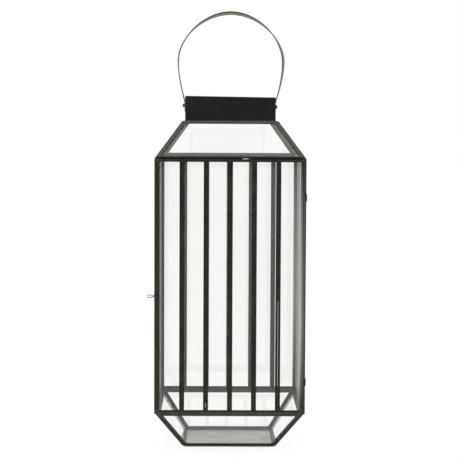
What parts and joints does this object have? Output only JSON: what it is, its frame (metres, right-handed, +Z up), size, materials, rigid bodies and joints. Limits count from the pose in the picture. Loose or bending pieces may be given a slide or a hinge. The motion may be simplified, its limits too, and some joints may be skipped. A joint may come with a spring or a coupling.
{
  "type": "candle lantern",
  "caption": "Tall square glass candle lantern with sloped top and bottom panes, hinged barred door, wire latch, square collar and steel strap handle.",
  "frame": {"origin": "centre of the base plate's underside", "axes": "+Z up towards the handle, -Y towards the door, +X towards the door's hinges"},
  "size_m": [0.189, 0.1835, 0.5315],
  "materials": {
    "came_metal": "blackened, satin, worn lighter along its edges",
    "collar_metal": "matt black",
    "plate_metal": "dull galvanised sheet, slightly mottled",
    "strap_metal": "brushed steel strap with a brown tint",
    "latch_metal": "bright drawn wire",
    "hardware_metal": "blackened hinges, staple and rivets",
    "pane_glass": "clear thin window glass with a faint green edge"
  },
  "bodies": {
    "lantern_frame": {"base_plate": "plate_metal", "lower_frame_front": "came_metal", "lower_frame_right": "came_metal", "lower_frame_back": "came_metal", "lower_frame_left": "came_metal", "lower_glass_front": "pane_glass", "lower_glass_right": "pane_glass", "lower_glass_back": "pane_glass", "lower_glass_left": "pane_glass", "side_frame_left": "came_metal", "side_frame_right": "came_metal", "side_glass_left": "pane_glass", "side_glass_right": "pane_glass", "back_pane_frame_1": "came_metal", "back_pane_frame_2": "came_metal", "back_pane_frame_3": "came_metal", "back_pane_frame_4": "came_metal", "back_pane_frame_5": "came_metal", "back_pane_frame_6": "came_metal", "back_glass_1": "pane_glass", "back_glass_2": "pane_glass", "back_glass_3": "pane_glass", "back_glass_4": "pane_glass", "back_glass_5": "pane_glass", "back_glass_6": "pane_glass", "roof_frame_front": "came_metal", "roof_frame_right": "came_metal", "roof_frame_back": "came_metal", "roof_frame_left": "came_metal", "roof_glass_front": "pane_glass", "roof_glass_right": "pane_glass", "roof_glass_back": "pane_glass", "roof_glass_left": "pane_glass", "collar": "collar_metal", "handle_rivet_left": "hardware_metal", "handle_rivet_right": "hardware_metal", "hinge_frame_leaf_upper": "hardware_metal", "hinge_frame_leaf_lower": "hardware_metal", "hinge_pin_upper": "hardware_metal", "hinge_pin_lower": "hardware_metal", "latch_staple": "hardware_metal"},
    "door": {"door_pane_frame_1": "came_metal", "door_pane_frame_2": "came_metal", "door_pane_frame_3": "came_metal", "door_pane_frame_4": "came_metal", "door_pane_frame_5": "came_metal", "door_pane_frame_6": "came_metal", "door_glass_1": "pane_glass", "door_glass_2": "pane_glass", "door_glass_3": "pane_glass", "door_glass_4": "pane_glass", "door_glass_5": "pane_glass", "door_glass_6": "pane_glass", "hinge_door_leaf_upper": "hardware_metal", "hinge_door_leaf_lower": "hardware_metal", "latch_catch": "hardware_metal"},
    "handle": {"handle_strap": "strap_metal"},
    "latch_loop": {"latch_loop": "latch_metal"}
  },
  "joints": [
    {"name": "door_swing", "type": "hinge", "parent": "lantern_frame", "child": "door", "pos_m": [0.08935, -0.09175, 0.196], "axis": [0, 0, 1], "range_deg": [0, 180]},
    {"name": "handle_swing", "type": "hinge", "parent": "lantern_frame", "child": "handle", "pos_m": [0, 0, 0.4141], "axis": [0.9999, 0, -0.014], "range_deg": [-95, 113]},
    {"name": "latch_swing", "type": "hinge", "parent": "lantern_frame", "child": "latch_loop", "pos_m": [-0.0896, -0.0923, 0.188], "axis": [0, 0, 1], "range_deg": [-50, 180]}
  ]
}
